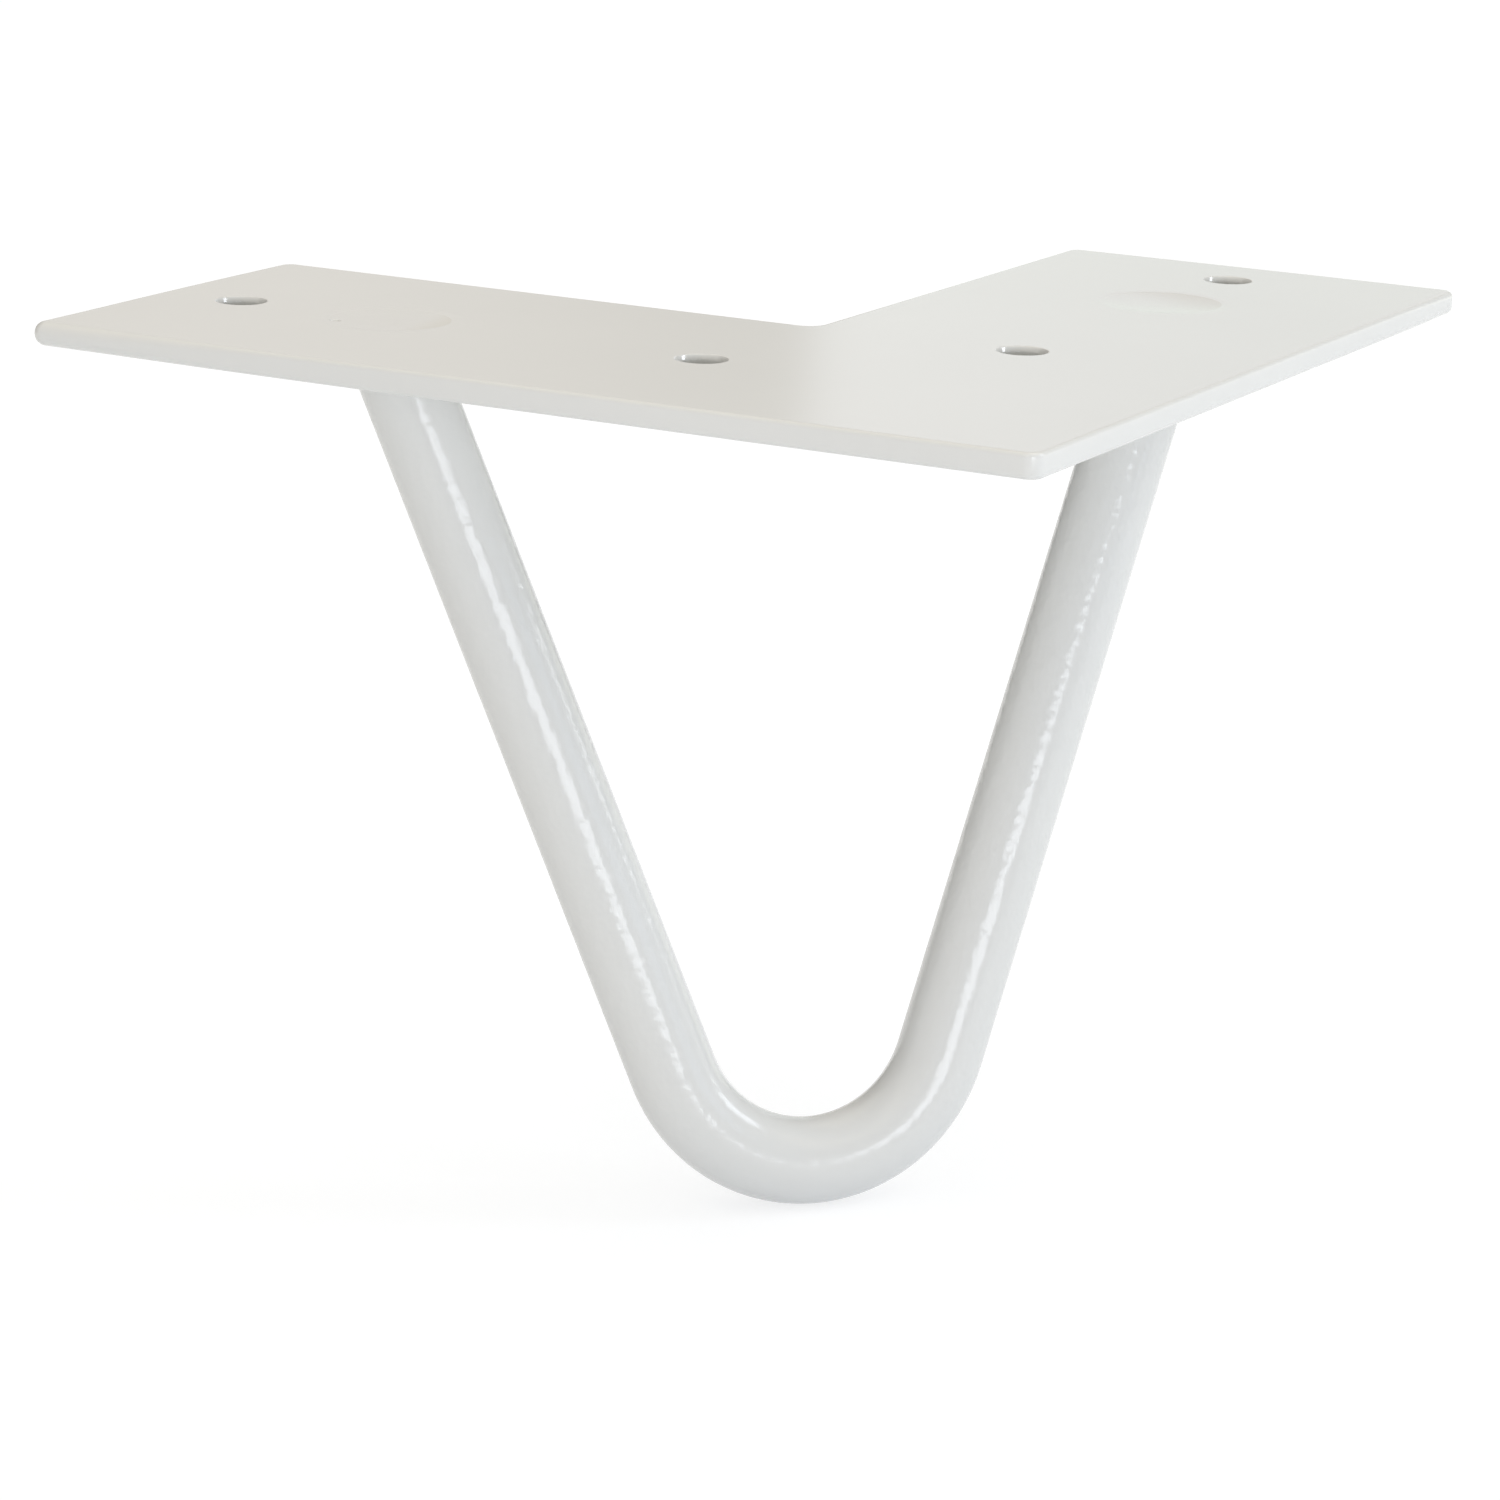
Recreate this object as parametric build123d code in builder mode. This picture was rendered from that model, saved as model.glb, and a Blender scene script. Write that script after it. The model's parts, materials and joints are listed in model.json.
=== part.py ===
from build123d import *
import os
from math import asin, atan2, cos, hypot, radians, sin, sqrt, tan

# Hairpin table leg: an L-shaped screw plate and one bent rod, plug-welded together.
# The origin is on the mounting face, where the centre lines of the two arms cross.
# The arms run along +X and +Y, and +Z points up into the table top. Millimetres.

# Mounting plate
arm_length = 120.0
arm_width = 50.0
plate_thickness = 2.7
outer_corner_radius = 1.5
inner_corner_radius = 2.0
rim_radius = 0.5

# Screw holes, two on the centre line of each arm, deburred on both faces
screw_hole_diameter = 5.0
screw_hole_chamfer = 0.5
screw_end_margin = 10.6
screw_spacing = 58.8

# Rod, seated on the centre line of each arm where it meets the underside of the plate
rod_diameter = 10.0
rod_end_margin = 30.3
bend_radius = 17.0
lean_angle = 11.8
leg_height = 100.0

# Plug welds, which fill the holes round and over the ends of the rod
rod_end_depth = 1.0
weld_gap = 0.6
dish_depth = 0.4

half_width = arm_width / 2
arm_reach = arm_length - half_width
rod_radius = rod_diameter / 2
lean = radians(lean_angle)
arm_directions = {"x": Vector(1, 0, 0), "y": Vector(0, 1, 0)}

# Places along an arm, from the origin
outer_screw = arm_reach - screw_end_margin
inner_screw = outer_screw - screw_spacing
rod_seat = arm_reach - rod_end_margin
screw_places = [
    along * distance
    for along in arm_directions.values()
    for distance in (inner_screw, outer_screw)
]
seat_places = {arm: along * rod_seat for arm, along in arm_directions.items()}

# The hairpin lies in one plane, which passes through both seats and leans outwards going down.
# In that plane y runs up from the line between the seats, and the legs are tangent to the bend.
half_span = rod_seat / sqrt(2)
low_depth = (leg_height - plate_thickness - rod_radius) / cos(lean)
bend_centre_depth = low_depth - bend_radius
bend_centre_distance = hypot(half_span, bend_centre_depth)
leg_angle = atan2(half_span, bend_centre_depth) - asin(bend_radius / bend_centre_distance)
vertex_depth = half_span / tan(leg_angle)
overrun = plate_thickness + rod_diameter
overrun_half_span = half_span + overrun * tan(leg_angle)
hairpin_plane = Plane(
    origin=(rod_seat / 2, rod_seat / 2, -plate_thickness),
    x_dir=(1, -1, 0),
    z_dir=(-cos(lean), -cos(lean), sqrt(2) * sin(lean)),
)

# A leg tilts from the vertical both by its half of the V and by the lean of the plane,
# so a round upright hole has to be wider than the rod to let its end in.
upright_share = cos(leg_angle) * cos(lean)
sideways_run = sqrt(1 - upright_share**2) / upright_share * (plate_thickness - rod_end_depth)
weld_radius = rod_radius / upright_share + sideways_run + weld_gap

# Plate: both arms cut as one, rounded rims, deburred screw holes, and plain holes for the rod
inner_corner = (half_width, half_width, 0)
with BuildPart() as mounting_plate:
    with BuildSketch(Plane.XY.offset(-plate_thickness)) as outline:
        with Locations((-half_width, -half_width)):
            Rectangle(arm_length, arm_width, align=(Align.MIN, Align.MIN))
            Rectangle(arm_width, arm_length, align=(Align.MIN, Align.MIN))
        fillet(outline.vertices().sort_by_distance(inner_corner)[1:], outer_corner_radius)
        fillet(outline.vertices().sort_by_distance(inner_corner)[0], inner_corner_radius)
    extrude(amount=plate_thickness)
    fillet(mounting_plate.faces().filter_by(Axis.Z).edges(), rim_radius)
    with Locations(*screw_places):
        Hole(screw_hole_diameter / 2)
    chamfer(mounting_plate.edges(Select.LAST).filter_by(GeomType.CIRCLE), screw_hole_chamfer)
    with Locations(*seat_places.values()):
        Hole(weld_radius)

# Rod: a round bar along two straight legs and one bend, with its ends cut level inside the plate
with BuildPart() as hairpin_rod:
    with BuildLine(hairpin_plane) as centre_line:
        FilletPolyline(
            (-overrun_half_span, overrun),
            (0, -vertex_depth),
            (overrun_half_span, overrun),
            radius=bend_radius,
        )
    with BuildSketch(centre_line.line ^ 0):
        Circle(rod_radius)
    sweep()
    split(bisect_by=Plane.XY.offset(-rod_end_depth), keep=Keep.BOTTOM)

# Plug welds: a turned plug with a dished top in each hole, hollowed by the end of the rod
plug_welds = {}
for arm, seat in seat_places.items():
    with BuildPart() as plug_weld:
        with BuildSketch(Plane(origin=seat, x_dir=(1, 0, 0), z_dir=(0, -1, 0))):
            with BuildLine():
                Polyline(
                    (0, -dish_depth),
                    (0, -plate_thickness),
                    (weld_radius, -plate_thickness),
                    (weld_radius, 0),
                )
                TangentArc((0, -dish_depth), (weld_radius, 0), tangent=(1, 0))
            make_face()
        revolve(axis=Axis(seat, (0, 0, 1)))
        add(hairpin_rod.part, mode=Mode.SUBTRACT)
    plug_welds[f"{arm}_arm_plug_weld"] = plug_weld

os.makedirs("parts", exist_ok=True)
pieces = {"mounting_plate": mounting_plate, "hairpin_rod": hairpin_rod, **plug_welds}
for name, piece in pieces.items():
    piece.part.label = name
    export_step(piece.part, f"parts/{name}.step")
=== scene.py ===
"""Looks of the hairpin table leg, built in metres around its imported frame."""

import json
from math import asin, atan2, ceil, cos, exp, hypot, pi, radians, sin, sqrt

import bmesh
import bpy
from mathutils import Matrix, Vector, noise
from mathutils.geometry import delaunay_2d_cdt


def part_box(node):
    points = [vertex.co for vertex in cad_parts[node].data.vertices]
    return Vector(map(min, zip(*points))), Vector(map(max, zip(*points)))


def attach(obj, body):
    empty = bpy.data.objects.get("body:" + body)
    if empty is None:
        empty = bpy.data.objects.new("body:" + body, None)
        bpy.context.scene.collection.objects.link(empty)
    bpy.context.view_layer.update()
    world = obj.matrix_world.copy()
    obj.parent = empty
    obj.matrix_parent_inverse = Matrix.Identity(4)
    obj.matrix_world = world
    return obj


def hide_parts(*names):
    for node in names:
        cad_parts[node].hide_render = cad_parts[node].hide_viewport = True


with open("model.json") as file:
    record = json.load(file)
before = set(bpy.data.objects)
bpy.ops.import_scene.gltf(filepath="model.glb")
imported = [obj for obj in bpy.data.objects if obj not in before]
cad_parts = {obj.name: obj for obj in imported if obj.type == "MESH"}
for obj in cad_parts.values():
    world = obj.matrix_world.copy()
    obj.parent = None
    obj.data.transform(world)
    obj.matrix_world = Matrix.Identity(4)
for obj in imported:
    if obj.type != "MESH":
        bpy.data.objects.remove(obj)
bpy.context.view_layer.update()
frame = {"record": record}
scene = bpy.context.scene
mm = 0.001
upwards = Vector((0, 0, 1))

# Sizes read from the frame
plate_low, plate_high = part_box("mounting_plate")
half_width = -plate_low.x
arm_reach = plate_high.x
thickness = plate_high.z - plate_low.z
mounts = {mount["name"]: mount for mount in frame["record"]["mounts"]}
foot = Vector(mounts["foot"]["pos_m"])
arms = {"x": Vector((1, 0, 0)), "y": Vector((0, 1, 0))}

# Corners and rims of the plate, with two corners (x, y, extra rim radius, reach) where the rim is rounder
outer_corner_radius = 1.5 * mm
elbow_radius = 1.7 * mm
inner_corner_radius = 2.0 * mm
rim_radius = 0.5 * mm
rounder_corners = [
    (-half_width, arm_reach, 0.8 * mm, 22 * mm),
    (arm_reach, -half_width, 0.3 * mm, 12 * mm),
]

# Edge of a screw hole, as (length, slope) from the top: a steep chamfer, rounded off above and below
hole_chamfer = 0.5 * mm
hole_edge = [(0.06 * mm, radians(slope)) for slope in (10, 32, 54)]
hole_edge += [(0.48 * mm, radians(64))]
hole_edge += [(0.05 * mm, radians(slope)) for slope in (73, 82)]

# Rod, with a small rounded root at the plate
rod_radius = 5.0 * mm
bend_radius = 17.0 * mm
rod_end_depth = 1.0 * mm
root_radius = 0.6 * mm

# Plug welds, with a pin hole in the coat of one of them
dish_depth = 0.15 * mm
dish_power = 2.4
seam_dip = 0.03 * mm
pin_hole_arm = "y"
pin_hole_bearing = radians(130)
pin_hole_offset = 6.1 * mm
pin_hole_radius = 0.6 * mm
pin_hole_depth = 0.6 * mm

# Unevenness, as (length, height) of its waves, and the share of it left as a coat's normal nears upright
long_wave = (12 * mm, 0.02 * mm)
orange_peel = (2.6 * mm, 0.006 * mm)
weld_wobble = (4 * mm, 0.12 * mm)
level_normals = (0.9, 0.99)
level_unevenness = 0.08

# Fineness of the meshes
plate_step = 0.9 * mm
rim_land = 0.2 * mm
corner_steps = 12
rim_steps = 6
hole_steps = 72
weld_steps = 200
weld_rings = 30
weld_crowding = 1.5
rod_around = 96
rod_step = 0.7 * mm
root_steps = 6
sharp_angle = radians(40)
merge_distance = 0.001 * mm

# Powder coat, with the depth of its fine orange peel on the plate and its welds, and on the rod
coat_tones = [(0.3, (0.795, 0.8, 0.8)), (0.7, (0.81, 0.815, 0.815))]
tone_grain = 30 * mm
coat_roughness = 0.16
coat_ior = 1.5
peel_grain = 1.4 * mm
plate_peel = 0.001 * mm
rod_peel = 0.085 * mm

# Where the rod's peel sets in: heights over the foot, and distances from the centre of the bend
peel_heights = (2 * mm, 14 * mm)
peel_distances = (13 * mm, 18 * mm)

# Coat in the screw holes, with painted shade that greys it down each hole, and the depths over which the
# painted shade sets in
hole_ior = 1.9
hole_painted_shade = (0.46, 0.46, 0.44)
hole_painted_shade_depths = (-0.1 * mm, 1.0 * mm)

# Painted shade on each arm's weld, towards the side of its dish whose slope turns away from the lamps on
# the right: its bearing, the share of the radius where it starts, and its colour
weld_painted_shades = {
    "x": (radians(60), -0.3, (0.71, 0.695, 0.66)),
    "y": (radians(110), 0.4, (0.745, 0.735, 0.695)),
}

# Camera, fitted to the photograph's frame
camera_place = Vector((-0.407469, -0.195092, 0.084613))
camera_bearing = radians(62.3494)
camera_pitch = radians(-15.3821)
camera_roll = radians(1.764)
camera_lens = 106.19
sensor_width = 36.0

# Floor, as it lights the object, and as it is seen with a glow that makes it white
floor_half_width = 3.0
floor_colour = (0.83, 0.855, 0.885)
seen_floor_colour = (0.29, 0.3, 0.315)
seen_floor_glow = 0.775

# Brightness of the studio round the object, and the direction of its dim corner
wall_left = (0.74, 0.717, 0.69)
wall_right = (0.405, 0.405, 0.39)
dim_corner = (0.03, 0.03, 0.03)
ceiling = (1.21, 1.14, 0.985)
corner_bearing = radians(305)
corner_elevation = radians(10)

# Cosines of the angles from an axis between which one part of the studio changes to the next
wall_change = (-0.12, 0.12)
corner_change = (0.72, 0.92)
ceiling_change = (0.6, 0.9)

# Lamps: name, bearing and elevation in degrees, distance, (width, height), radiance and colour
lamps = [
    ("front_softbox", 158.5, 6.6, 0.8, (0.33, 0.24), 5.1, (0.95, 0.99, 1.06)),
    ("right_softbox", 83, 28.8, 1.5, (0.38, 0.56), 5.4, (0.93, 0.99, 1.08)),
    ("right_strip", 77, 12.6, 1.5, (0.3, 0.09), 4.0, (0.97, 1.0, 1.03)),
    ("right_panel", 115, 14, 1.5, (0.6, 0.5), 0.53, (0.72, 0.97, 1.31)),
    ("low_right_panel", 62, 3.2, 1.5, (1.5, 0.28), 0.78, (1.05, 1.05, 0.9)),
    ("back_panel", 13, 16, 1.5, (0.65, 0.29), 0.46, (0.93, 0.98, 1.09)),
    ("low_back_panel", 13, 5.5, 1.5, (0.65, 0.26), 0.48, (0.91, 1.06, 1.03)),
]


# Directions and places
def compass(angle):
    """Flat unit vector at an angle from +X."""
    return Vector((cos(angle), sin(angle)))


def view_right():
    """Level direction to the camera's right."""
    return Vector((cos(camera_bearing), -sin(camera_bearing), 0))


def view_ahead():
    """Level direction in which the camera looks."""
    return Vector((sin(camera_bearing), cos(camera_bearing), 0))


def studio_direction(bearing, elevation):
    """Direction from the leg, with its bearing from straight behind, turning to the camera's right."""
    level = view_ahead() * cos(bearing) + view_right() * sin(bearing)
    return level * cos(elevation) + upwards * sin(elevation)


def weld_place(arm):
    """Centre on the mounting face, and radius, of one arm's plug weld."""
    low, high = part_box(f"{arm}_arm_plug_weld")
    centre = (low + high) / 2
    return centre.xy, (high.x - low.x) / 2


def screw_places():
    """Centre and radius of each screw hole."""
    places = []
    for arm, along in arms.items():
        mount = mounts[f"{arm}_arm_screws"]
        spacing = mount["dims"][f"spacing_{arm}_mm"] * mm
        radius = mount["dims"]["hole_r_mm"] * mm
        for side in (-0.5, 0.5):
            centre = Vector(mount["pos_m"]) + along * spacing * side
            places.append((centre.xy, radius))
    return places


# Meshes
def smooth_step(value, low, high):
    """0 below low, 1 above high, and a smooth rise between."""
    share = min(max((value - low) / (high - low), 0), 1)
    return share * share * (3 - 2 * share)


def wave_height(point, wave):
    """Height at a point of waves of a given (length, height)."""
    length, height = wave
    return noise.noise(point / length) * height


def coat_height(point, normal):
    """Height of the uneven coat at a point, which is less where the coat lies level."""
    level = smooth_step(abs(normal.z), *level_normals)
    uneven = wave_height(point, long_wave) + wave_height(point, orange_peel)
    return uneven * (1 - level * (1 - level_unevenness))


def finish_mesh(bm, name):
    """Smooth mesh with an uneven coat; its sharp edges, which are hidden seams, stay in place."""
    bmesh.ops.recalc_face_normals(bm, faces=bm.faces)
    bm.normal_update()
    for face in bm.faces:
        face.smooth = True
    for edge in bm.edges:
        edge.smooth = edge.calc_face_angle() < sharp_angle
    loose = [vert for vert in bm.verts if all(edge.smooth for edge in vert.link_edges)]
    shifts = [vert.normal * coat_height(vert.co, vert.normal) for vert in loose]
    for vert, shift in zip(loose, shifts):
        vert.co += shift
    mesh = bpy.data.meshes.new(name)
    bm.to_mesh(mesh)
    bm.free()
    return mesh


def add_ring(bm, points, z):
    """Vertices at flat points, all at one height."""
    return [bm.verts.new((point.x, point.y, z)) for point in points]


def join_rings(bm, rings):
    """Bands of faces between closed rings, each with as many vertices as the next."""
    for ring, below in zip(rings, rings[1:]):
        for i in range(len(ring)):
            bm.faces.new((ring[i - 1], ring[i], below[i], below[i - 1]))


def close_rings(bm, rings):
    """Bands of faces between closed rings, and one face across each end."""
    join_rings(bm, rings)
    bm.faces.new(rings[0])
    bm.faces.new(rings[-1])


def new_piece(name, bm, material, node):
    """A finished piece that stands for a CAD node and rides on the one body."""
    mesh = finish_mesh(bm, name)
    piece = bpy.data.objects.new(name, mesh)
    scene.collection.objects.link(piece)
    mesh.materials.append(material)
    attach(piece, "root")
    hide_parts(node)
    return piece


# Plate
def both_faces(top):
    """A profile of (place, height) from the flat top, with its mirror image on to the flat underside."""
    return top + [(place, -thickness - height) for place, height in reversed(top)]


def rim_profile(radius):
    """(inset, height) over a rounded rim and down the edge of the plate."""
    angles = [radians(90) * i / rim_steps for i in range(rim_steps + 1)]
    top = [(radius + rim_land, 0.0)]
    top += [(radius * (1 - sin(angle)), -radius * (1 - cos(angle))) for angle in angles]
    return both_faces(top)


def hole_profile(radius):
    """(radius, height) from the top radius of a screw hole, down its rounded chamfer and its wall."""
    height = 0.0
    top = [(radius + rim_land, height), (radius, height)]
    for length, slope in hole_edge:
        radius -= length * cos(slope)
        height -= length * sin(slope)
        top.append((radius, height))
    return both_faces(top)


def corner_arc(corner, start, turn, radius):
    """(point, inward direction) round one corner of the plate, hollow where it turns clockwise."""
    side = 1 if turn > 0 else -1
    centre = corner - compass(start + turn / 2) * radius * sqrt(2)
    rays = [compass(start + turn * i / corner_steps) for i in range(corner_steps + 1)]
    return [(centre + ray * radius, -ray * side) for ray in rays]


def plate_outline():
    """(point, inward direction) round the plate."""
    low, inner, high = -half_width, half_width, arm_reach
    corners = [
        (low, low, 180, 90, elbow_radius),
        (high, low, 270, 90, outer_corner_radius),
        (high, inner, 0, 90, outer_corner_radius),
        (inner, inner, 270, -90, inner_corner_radius),
        (inner, high, 0, 90, outer_corner_radius),
        (low, high, 90, 90, outer_corner_radius),
    ]
    arcs = []
    for x, y, start, turn, radius in corners:
        arcs.append(corner_arc(Vector((x, y)), radians(start), radians(turn), radius))
    outline = []
    for arc, next_arc in zip(arcs, arcs[1:] + arcs[:1]):
        last, inward = arc[-1]
        stretch = next_arc[0][0] - last
        steps = round(stretch.length / plate_step)
        outline += arc
        outline += [(last + stretch * i / steps, inward) for i in range(1, steps)]
    return outline


def edge_rim(point):
    """Rim radius at a point of the outline. The rims are rounder towards two of the corners."""
    radius = rim_radius
    for x, y, extra, reach in rounder_corners:
        distance = (point - Vector((x, y))).length
        radius += extra * exp(-((distance / reach) ** 2))
    return radius


def edge_rings(bm):
    """Rings of vertices from the flat top, over the edge of the plate, to the flat underside."""
    sections = []
    for point, inward in plate_outline():
        places = [(point + inward * inset, z) for inset, z in rim_profile(edge_rim(point))]
        sections.append([bm.verts.new((place.x, place.y, z)) for place, z in places])
    return [list(ring) for ring in zip(*sections)]


def circle(centre, radius, steps=hole_steps):
    """Points round a circle."""
    return [centre + compass(2 * pi * i / steps) * radius for i in range(steps)]


def hole_rings(bm, centre, radius):
    """Rings of vertices from the flat top, down a screw hole, to the flat underside."""
    profile = hole_profile(radius + hole_chamfer)
    return [add_ring(bm, circle(centre, ring_radius), z) for ring_radius, z in profile]


def weld_outline(arm, margin=0.0, steps=hole_steps):
    """Points round a plug weld, a little out of round."""
    centre, radius = weld_place(arm)
    points = []
    for point in circle(centre, radius + margin, steps):
        outward = (point - centre).normalized()
        points.append(point + outward * wave_height(point.to_3d(), weld_wobble))
    return points


def seam_rings(bm, arm):
    """Rings of vertices from the flat top, down the seam round a plug weld, to the flat underside."""
    land = weld_outline(arm, rim_land)
    seam = weld_outline(arm)
    levels = [(land, 0.0), (seam, -seam_dip), (seam, -thickness), (land, -thickness)]
    return [add_ring(bm, points, z) for points, z in levels]


def inner_grid(clear):
    """Points spread evenly over the plate, clear of its rim and of each (centre, radius)."""
    widest_rim = rim_radius + max(extra for _, _, extra, _ in rounder_corners)
    margin = widest_rim + rim_land + plate_step / 2
    low, inner, high = -half_width + margin, half_width - margin, arm_reach - margin
    row_gap = plate_step * sqrt(3) / 2
    points = []
    for row in range(ceil((high - low) / row_gap)):
        y = low + row * row_gap
        for column in range(ceil((high - low) / plate_step)):
            x = low + (column + row % 2 / 2) * plate_step
            point = Vector((x, y))
            on_plate = max(x, y) < high and min(x, y) < inner
            if on_plate and all((point - centre).length > reach for centre, reach in clear):
                points.append(point)
    return points


def flat_faces(bm, loops, inside, z, facing_up):
    """Triangles that fill the first loop of vertices, apart from the other loops, which are holes."""
    verts = [vert for loop in loops for vert in loop] + add_ring(bm, inside, z)
    points = [vert.co.xy for vert in verts]
    outlines = []
    start = 0
    for loop in loops:
        outlines.append(list(range(start, start + len(loop))))
        start += len(loop)
    triangles_inside = 1
    found = delaunay_2d_cdt(points, [], outlines, triangles_inside, merge_distance)
    _, _, faces, sources, _, owners = found
    for face, loops_round_it in zip(faces, owners):
        if loops_round_it == [0]:
            corners = [verts[sources[i][0]] for i in face]
            bm.faces.new(corners if facing_up else corners[::-1])


def mark_holes(bm, screws):
    """Second material, the coat with painted shade, on the faces in the screw holes."""
    for face in bm.faces:
        middle = face.calc_center_median().xy
        in_hole = [(middle - centre).length < radius + hole_chamfer for centre, radius in screws]
        face.material_index = int(any(in_hole))


def build_plate(material, hole_material):
    """Mounting plate with rounded rims and screw holes, open where the welds fill it."""
    bm = bmesh.new()
    screws = screw_places()
    welds = [weld_place(arm) for arm in arms]
    columns = [edge_rings(bm)]
    columns += [hole_rings(bm, centre, radius) for centre, radius in screws]
    columns += [seam_rings(bm, arm) for arm in arms]
    for column in columns:
        join_rings(bm, column)
    mark_holes(bm, screws)
    margin = hole_chamfer + rim_land + plate_step / 2
    inside = inner_grid([(centre, radius + margin) for centre, radius in screws + welds])
    flat_faces(bm, [column[0] for column in columns], inside, 0.0, True)
    flat_faces(bm, [column[-1] for column in columns], inside, -thickness, False)
    plate = new_piece("coated_plate", bm, material, "mounting_plate")
    plate.data.materials.append(hole_material)


# Plug welds
def pin_hole_dip(place, pin_hole):
    """Depth of the pin hole at a place, with none beyond its radius."""
    spread = (place - pin_hole).length / pin_hole_radius
    return pin_hole_depth * (1 - min(spread, 1) ** 2) ** 2


def build_weld(arm, material):
    """Dished top of a plug weld, coated over, with a pin hole in the coat of one of them."""
    centre, _ = weld_place(arm)
    seam = weld_outline(arm, steps=weld_steps)
    pin_hole = centre + compass(pin_hole_bearing) * pin_hole_offset
    bm = bmesh.new()
    rings = [add_ring(bm, seam, -thickness)]
    for i in range(weld_rings):
        share = 1 - (i / weld_rings) ** weld_crowding
        height = -seam_dip - dish_depth * (1 - share ** dish_power)
        ring = []
        for point in seam:
            place = centre.lerp(point, share)
            dip = pin_hole_dip(place, pin_hole) if arm == pin_hole_arm else 0.0
            ring.append(bm.verts.new((place.x, place.y, height - dip)))
        rings.append(ring)
    close_rings(bm, rings)
    new_piece(f"coated_{arm}_arm_weld", bm, material, f"{arm}_arm_plug_weld")


# Rod, which lies in one plane through both seats and the foot, with legs tangent to its bend
seat = weld_place("x")[0].x
drop = -foot.z - thickness - rod_radius
lean = atan2((seat / 2 - foot.x) * sqrt(2), drop)
half_span = seat / sqrt(2)
centre_depth = drop / cos(lean) - bend_radius
leg_angle = atan2(half_span, centre_depth) - asin(bend_radius / hypot(half_span, centre_depth))
half_turn = pi / 2 - leg_angle
across = Vector((1, -1, 0)).normalized()
down = Vector((-sin(lean), -sin(lean), -sqrt(2) * cos(lean))).normalized()
facing = across.cross(down)
bend_centre = Vector((seat / 2, seat / 2, -thickness)) + down * centre_depth


def bend_ring(angle):
    """Centre of the rod, and points round it, at an angle round the bend from straight down."""
    outward = across * sin(angle) + down * cos(angle)
    turns = [2 * pi * i / rod_around for i in range(rod_around)]
    rays = [outward * cos(turn) + facing * sin(turn) for turn in turns]
    centre = bend_centre + outward * bend_radius
    return centre, [centre + ray * rod_radius for ray in rays]


def bend_rings():
    """Rings of points round the bend, from leg to leg."""
    steps = ceil(2 * half_turn * (bend_radius + rod_radius) / rod_step)
    angles = [half_turn * (2 * i / steps - 1) for i in range(steps + 1)]
    return [bend_ring(angle)[1] for angle in angles]


def leg_rings(side):
    """Rings of points up one leg, from just above the bend to the end inside the plate."""
    start, lower = bend_ring(side * half_turn)
    along = across * side * sin(leg_angle) - down * cos(leg_angle)

    def level_ring(z, flare):
        """Level ring round the leg, widened by a flare."""
        axis = start + along * (z - start.z) / along.z
        points = [point + along * (z - point.z) / along.z for point in lower]
        return [point + (point - axis).normalized() * flare for point in points]

    root_start = -thickness - root_radius
    upper = level_ring(root_start, 0.0)
    steps = ceil((upper[0] - lower[0]).length / rod_step)
    rings = [[a.lerp(b, i / steps) for a, b in zip(lower, upper)] for i in range(1, steps + 1)]
    for i in range(1, root_steps + 1):
        share = i / root_steps
        flare = root_radius * (1 - sqrt(1 - share ** 2))
        rings.append(level_ring(root_start + root_radius * share, flare))
    rings.append(level_ring(-rod_end_depth, root_radius))
    return rings


def build_rod(material):
    """Bent rod, with a small rounded root where each leg meets the plate."""
    bm = bmesh.new()
    levels = leg_rings(-1)[::-1] + bend_rings() + leg_rings(1)
    close_rings(bm, [[bm.verts.new(point) for point in points] for points in levels])
    new_piece("coated_rod", bm, material, "hairpin_rod")


# Nodes
def node_material(name):
    """An empty node material and its output."""
    material = bpy.data.materials.new(name)
    material.use_nodes = True
    material.node_tree.nodes.clear()
    return material, material.node_tree.nodes.new("ShaderNodeOutputMaterial")


def noise_node(tree, coordinates, size, detail):
    """Noise of a given grain size, in metres."""
    node = tree.nodes.new("ShaderNodeTexNoise")
    node.inputs["Scale"].default_value = 1 / size
    node.inputs["Detail"].default_value = detail
    tree.links.new(coordinates, node.inputs["Vector"])
    return node.outputs["Fac"]


def bump_node(tree, height, depth, strength=None):
    """Bump of a given depth, in metres, at full strength all over unless a share is given."""
    node = tree.nodes.new("ShaderNodeBump")
    node.inputs["Distance"].default_value = depth
    tree.links.new(height, node.inputs["Height"])
    if strength:
        tree.links.new(strength, node.inputs["Strength"])
    return node.outputs["Normal"]


def ramp_node(tree, factor, stops):
    """Colours spread along a factor, from (position, colour) pairs."""
    node = tree.nodes.new("ShaderNodeValToRGB")
    for element, (position, colour) in zip(node.color_ramp.elements, stops):
        element.position = position
        element.color = (*colour, 1)
    tree.links.new(factor, node.inputs["Fac"])
    return node.outputs["Color"]


def math_node(tree, operation, first, second):
    """Outcome of an operation on two numbers."""
    node = tree.nodes.new("ShaderNodeMath")
    node.operation = operation
    tree.links.new(first, node.inputs[0])
    tree.links.new(second, node.inputs[1])
    return node.outputs["Value"]


def vector_share(tree, operation, vector, constant, low, high):
    """Smooth step from 0 to 1 as the outcome of a vector operation goes from low to high."""
    outcome = tree.nodes.new("ShaderNodeVectorMath")
    outcome.operation = operation
    outcome.inputs[1].default_value = constant
    tree.links.new(vector, outcome.inputs[0])
    step = tree.nodes.new("ShaderNodeMapRange")
    step.interpolation_type = "SMOOTHSTEP"
    step.inputs["From Min"].default_value = low
    step.inputs["From Max"].default_value = high
    tree.links.new(outcome.outputs["Value"], step.inputs["Value"])
    return step.outputs["Result"]


def direction_share(tree, vector, axis, low, high):
    """Smooth step from 0 to 1 as a vector's part along an axis goes from low to high."""
    return vector_share(tree, "DOT_PRODUCT", vector, axis, low, high)


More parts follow.
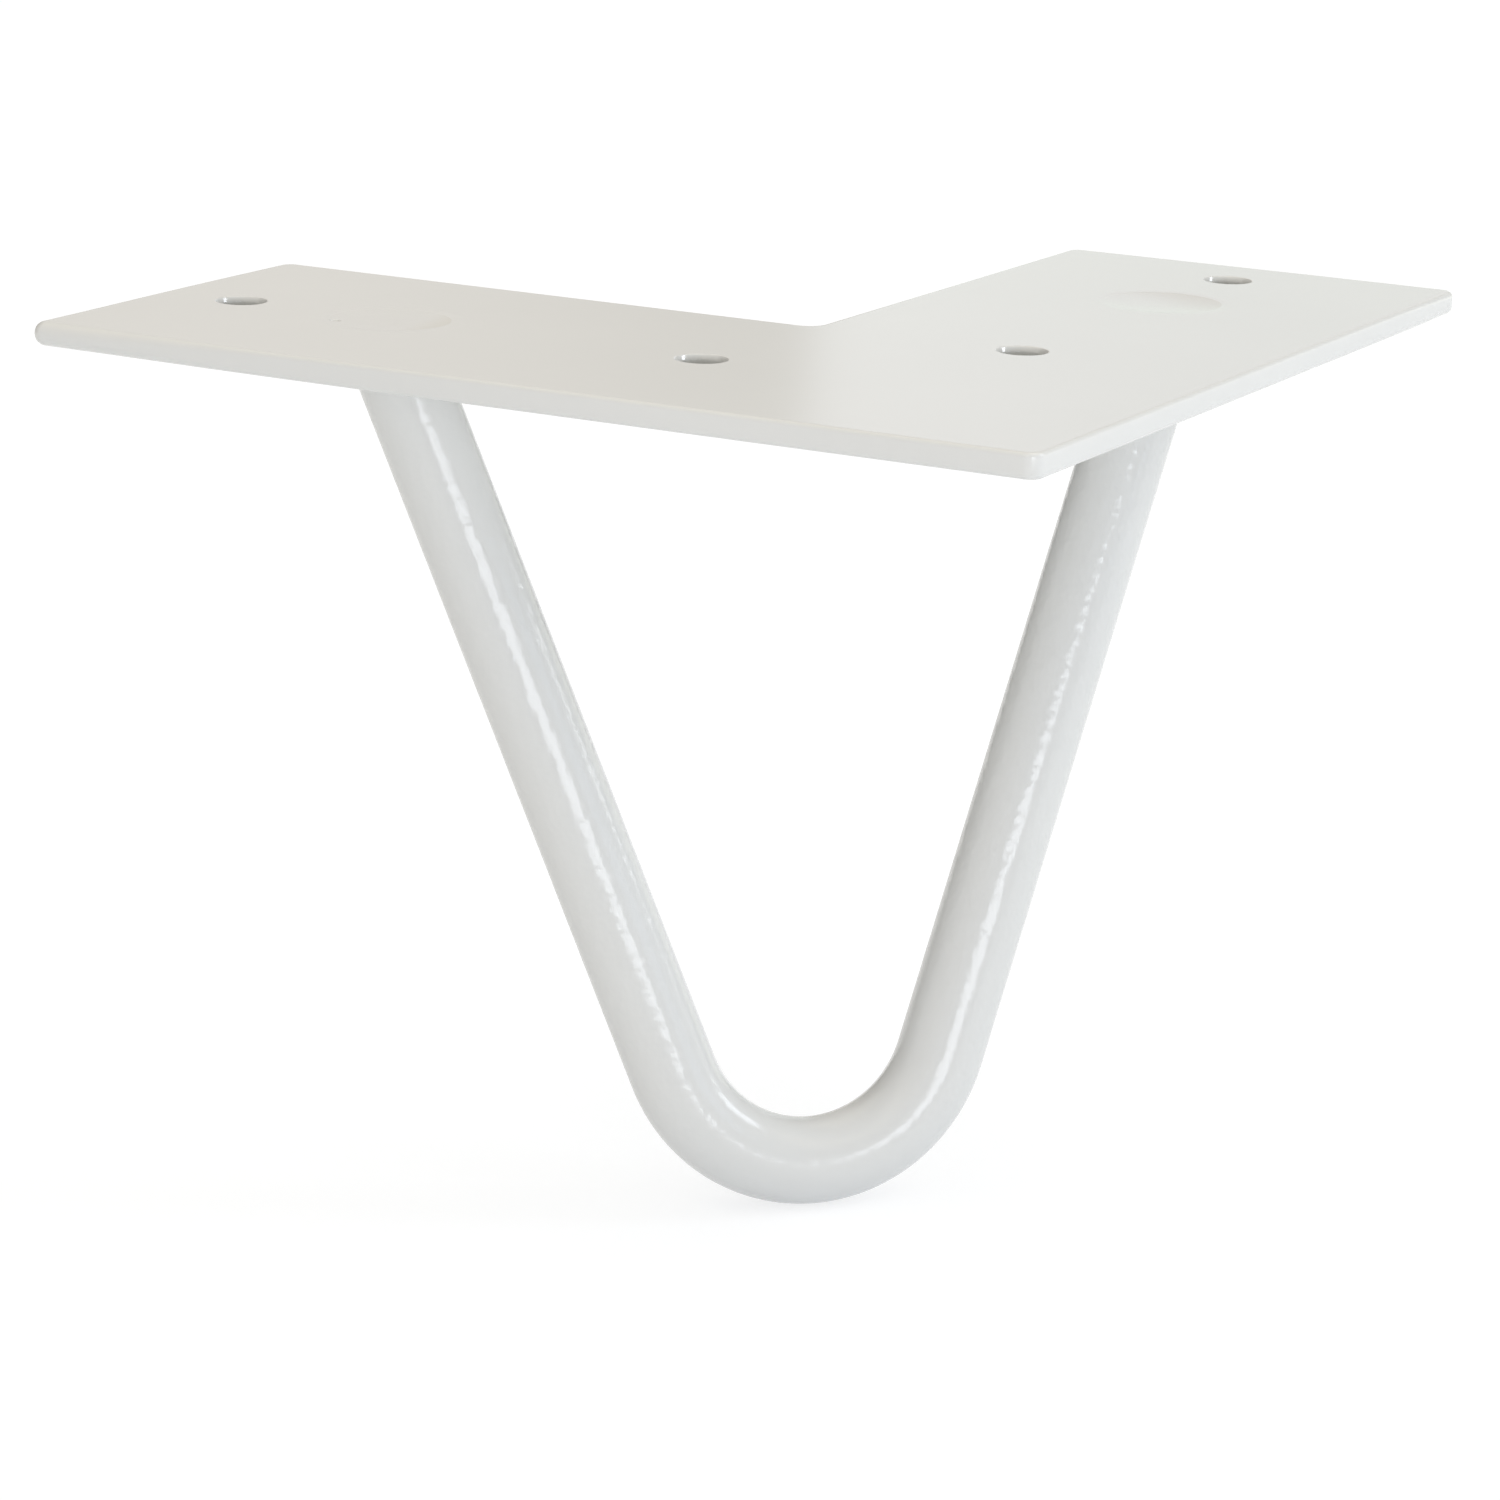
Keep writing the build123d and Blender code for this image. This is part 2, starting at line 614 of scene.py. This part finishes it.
def distance_share(tree, place, centre, low, high):
    """Smooth step from 0 to 1 as the distance from a centre goes from low to high."""
    return vector_share(tree, "DISTANCE", place, centre, low, high)


def mix_colours(tree, share, first, second):
    """Mix of two colours, each a plain colour or the output of a node."""
    mix = tree.nodes.new("ShaderNodeMix")
    mix.data_type = "RGBA"
    tree.links.new(share, mix.inputs["Factor"])
    sockets = [socket for socket in mix.inputs if socket.type == "RGBA"]
    for socket, colour in zip(sockets, (first, second)):
        if isinstance(colour, tuple):
            socket.default_value = (*colour, 1)
        else:
            tree.links.new(colour, socket)
    return next(socket for socket in mix.outputs if socket.type == "RGBA")


def diffuse_node(tree, colour):
    """Matt surface of one colour."""
    node = tree.nodes.new("ShaderNodeBsdfDiffuse")
    node.inputs["Color"].default_value = (*colour, 1)
    return node.outputs["BSDF"]


def seen_ray(tree):
    """1 for rays that show the background: seen directly, in a reflection or through glass."""
    path = tree.nodes.new("ShaderNodeLightPath")
    seen = path.outputs["Is Camera Ray"]
    for kind in ("Is Glossy Ray", "Is Transmission Ray"):
        seen = math_node(tree, "MAXIMUM", seen, path.outputs[kind])
    return seen


# Materials
def powder_coat(name, peel_depth, add_painted_shade=None, spread=None, ior=coat_ior):
    """White semi-gloss coat, nearly even, with painted shade mixed in if it is given and orange peel that
    may fade.
    """
    material, output = node_material(name)
    tree = material.node_tree
    shader = tree.nodes.new("ShaderNodeBsdfPrincipled")
    coordinates = tree.nodes.new("ShaderNodeTexCoord").outputs["Object"]
    colour = ramp_node(tree, noise_node(tree, coordinates, tone_grain, detail=3), coat_tones)
    # Painted shade, where a material brings it, is mixed into the coat's colour
    if add_painted_shade:
        colour = add_painted_shade(tree, coordinates, colour)
    tree.links.new(colour, shader.inputs["Base Color"])
    share = spread(tree, coordinates) if spread else None
    peel = bump_node(tree, noise_node(tree, coordinates, peel_grain, detail=1), peel_depth, share)
    tree.links.new(peel, shader.inputs["Normal"])
    shader.inputs["Roughness"].default_value = coat_roughness
    shader.inputs["IOR"].default_value = ior
    tree.links.new(shader.outputs["BSDF"], output.inputs["Surface"])
    return material


def rod_coat():
    """Powder coat whose orange peel fades on the inside of the bend and towards its bottom."""

    def spread(tree, coordinates):
        low, high = [foot.z + height for height in peel_heights]
        above = direction_share(tree, coordinates, upwards, low, high)
        outside = distance_share(tree, coordinates, bend_centre, *peel_distances)
        return math_node(tree, "MULTIPLY", above, outside)

    return powder_coat("rod_coat", rod_peel, spread=spread)


def hole_painted_shade_coat():
    """Glossier powder coat with painted shade that greys it down a screw hole."""

    def add_painted_shade(tree, coordinates, plain):
        # Painted shade: the coat greys with depth below the top of the plate
        share = direction_share(tree, coordinates, -upwards, *hole_painted_shade_depths)
        return mix_colours(tree, share, plain, hole_painted_shade)

    return powder_coat("hole_painted_shade_coat", plate_peel, add_painted_shade, ior=hole_ior)


def weld_painted_shade_coat(arm):
    """Powder coat with painted shade, darker and yellower, towards one side of a plug weld's dish."""
    centre, radius = weld_place(arm)
    bearing, start, colour = weld_painted_shades[arm]
    towards = studio_direction(bearing, 0)
    middle = centre.dot(towards.xy)

    # Painted shade: the coat darkens and yellows towards one side of the weld's dish
    def add_painted_shade(tree, coordinates, plain):
        low, high = middle + start * radius, middle + radius
        share = direction_share(tree, coordinates, towards, low, high)
        return mix_colours(tree, share, plain, colour)

    return powder_coat(f"{arm}_arm_weld_coat", plate_peel, add_painted_shade)


def floor_material():
    """Pale floor that shows white, with the shadow that falls on it."""
    material, output = node_material("floor")
    tree = material.node_tree
    plain = diffuse_node(tree, floor_colour)
    shadowed = diffuse_node(tree, seen_floor_colour)
    glow = tree.nodes.new("ShaderNodeEmission")
    glow.inputs["Strength"].default_value = seen_floor_glow
    shown = tree.nodes.new("ShaderNodeAddShader")
    tree.links.new(shadowed, shown.inputs[0])
    tree.links.new(glow.outputs["Emission"], shown.inputs[1])
    mix = tree.nodes.new("ShaderNodeMixShader")
    tree.links.new(seen_ray(tree), mix.inputs["Fac"])
    tree.links.new(plain, mix.inputs[1])
    tree.links.new(shown.outputs["Shader"], mix.inputs[2])
    tree.links.new(mix.outputs["Shader"], output.inputs["Surface"])
    return material


# Stage
def build_floor():
    """Wide floor under the foot."""
    half = floor_half_width
    corners = [(-half, -half), (half, -half), (half, half), (-half, half)]
    mesh = bpy.data.meshes.new("floor")
    mesh.from_pydata([(x, y, foot.z) for x, y in corners], [], [(0, 1, 2, 3)])
    mesh.materials.append(floor_material())
    floor = bpy.data.objects.new("floor", mesh)
    scene.collection.objects.link(floor)


def build_world():
    """Studio walls to the left and the right, with a dim corner behind to the left, and a ceiling."""
    world = bpy.data.worlds.new("studio")
    world.use_nodes = True
    scene.world = world
    tree = world.node_tree
    direction = tree.nodes.new("ShaderNodeTexCoord").outputs["Generated"]
    corner = studio_direction(corner_bearing, corner_elevation)
    to_right = direction_share(tree, direction, view_right(), *wall_change)
    to_corner = direction_share(tree, direction, corner, *corner_change)
    to_ceiling = direction_share(tree, direction, upwards, *ceiling_change)
    walls = mix_colours(tree, to_right, wall_left, wall_right)
    walls = mix_colours(tree, to_corner, walls, dim_corner)
    colour = mix_colours(tree, to_ceiling, walls, ceiling)
    tree.links.new(colour, tree.nodes["Background"].inputs["Color"])


def build_camera():
    """Camera at the photograph's viewing angle."""
    camera = bpy.data.objects.new("camera", bpy.data.cameras.new("camera"))
    camera.data.sensor_fit = "HORIZONTAL"
    camera.data.sensor_width = sensor_width
    camera.data.lens = camera_lens
    camera.matrix_world = (
        Matrix.Translation(camera_place)
        @ Matrix.Rotation(-camera_bearing, 4, "Z")
        @ Matrix.Rotation(radians(90) + camera_pitch, 4, "X")
        @ Matrix.Rotation(camera_roll, 4, "Z")
    )
    scene.collection.objects.link(camera)
    scene.camera = camera


def add_light(name, bearing, elevation, distance, size, radiance, colour):
    """Soft light of a given radiance, aimed at the leg from a direction in degrees."""
    target = Vector((foot.x, foot.y, foot.z / 2))
    towards = studio_direction(radians(bearing), radians(elevation))
    lamp = bpy.data.lights.new(name, "AREA")
    lamp.shape = "RECTANGLE"
    lamp.size, lamp.size_y = size
    lamp.energy = radiance * pi * lamp.size * lamp.size_y
    lamp.color = colour
    light = bpy.data.objects.new(name, lamp)
    light.location = target + towards * distance
    light.rotation_euler = towards.to_track_quat("Z", "Y").to_euler()
    scene.collection.objects.link(light)


# The whole scene
build_plate(powder_coat("plate_coat", plate_peel), hole_painted_shade_coat())
for arm in arms:
    build_weld(arm, weld_painted_shade_coat(arm))
build_rod(rod_coat())
build_floor()
build_world()
build_camera()
for lamp in lamps:
    add_light(*lamp)
scene.view_settings.view_transform = "Standard"
